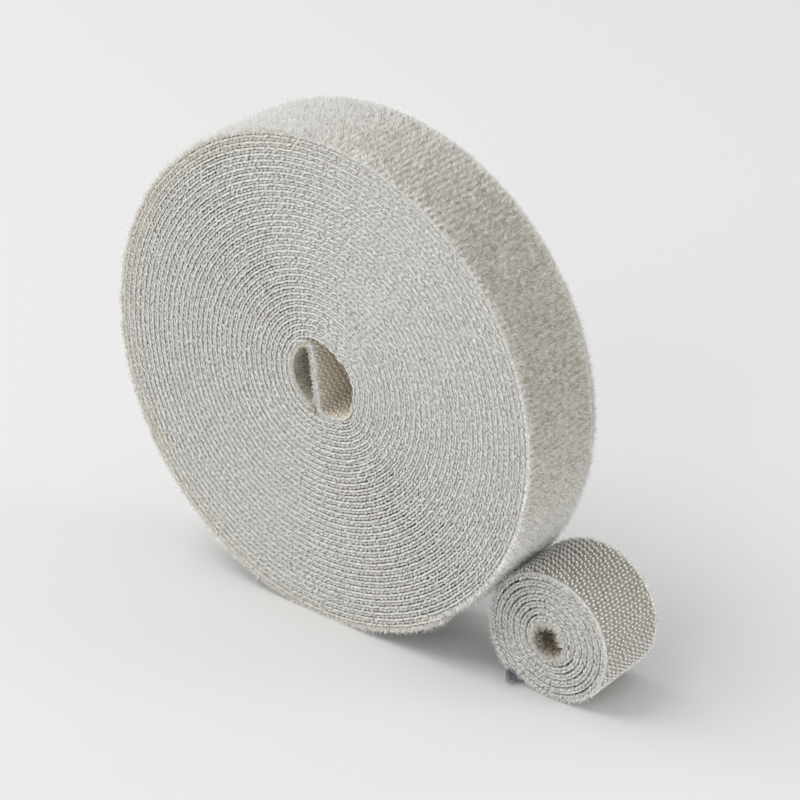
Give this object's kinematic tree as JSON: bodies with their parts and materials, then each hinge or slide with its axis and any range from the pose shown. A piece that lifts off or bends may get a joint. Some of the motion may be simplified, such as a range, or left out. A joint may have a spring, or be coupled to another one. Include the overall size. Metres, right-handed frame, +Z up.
{
  "type": "hook and loop tape roll",
  "caption": "Roll of two-sided hook and loop tape wound on its own folded inner end, with a short coil of narrower tape standing against it.",
  "frame": {"origin": "middle of the flat that the roll rests on, at half the tape's width", "axes": "+Z up; Y along both coils' axes, with the front face at -Y; +X from the roll towards the short coil"},
  "size_m": [0.1135, 0.021, 0.0987],
  "materials": {
    "loop_pile": "napped loop pile on a knitted ground, light warm grey",
    "hook_face": "rows of monofilament hooks on a woven ground, light warm grey"
  },
  "bodies": {
    "roll": {"roll_winding_loop_web": "loop_pile", "roll_winding_hook_web": "hook_face"},
    "roll_end_near": {"roll_end_near_loop_web": "loop_pile", "roll_end_near_hook_web": "hook_face"},
    "roll_end_tip": {"roll_end_tip_loop_web": "loop_pile", "roll_end_tip_hook_web": "hook_face"},
    "coil": {"coil_winding_hook_web": "hook_face", "coil_winding_loop_web": "loop_pile"},
    "coil_end": {"coil_end_hook_web": "hook_face", "coil_end_loop_web": "loop_pile"}
  },
  "joints": [
    {"name": "roll_end_peel", "type": "hinge", "parent": "roll", "child": "roll_end_near", "pos_m": [0.01296, 0, 0.00113], "axis": [0, 1, 0], "range_deg": [0, 22]},
    {"name": "roll_tip_peel", "type": "hinge", "parent": "roll_end_near", "child": "roll_end_tip", "pos_m": [0.02217, 0, 0.00453], "axis": [0, 1, 0], "range_deg": [0, 11]},
    {"name": "coil_slide", "type": "slide", "parent": "roll", "child": "coil", "axis": [1, 0, 0], "range_m": [0, 0.08]},
    {"name": "coil_end_peel", "type": "hinge", "parent": "coil", "child": "coil_end", "pos_m": [0.03708, 0.0027, 0.01414], "axis": [0, 1, 0], "range_deg": [0, 35]}
  ],
  "couplings": [
    {"joint": "roll_tip_peel", "follows": "roll_end_peel", "ratio": 0.5}
  ]
}
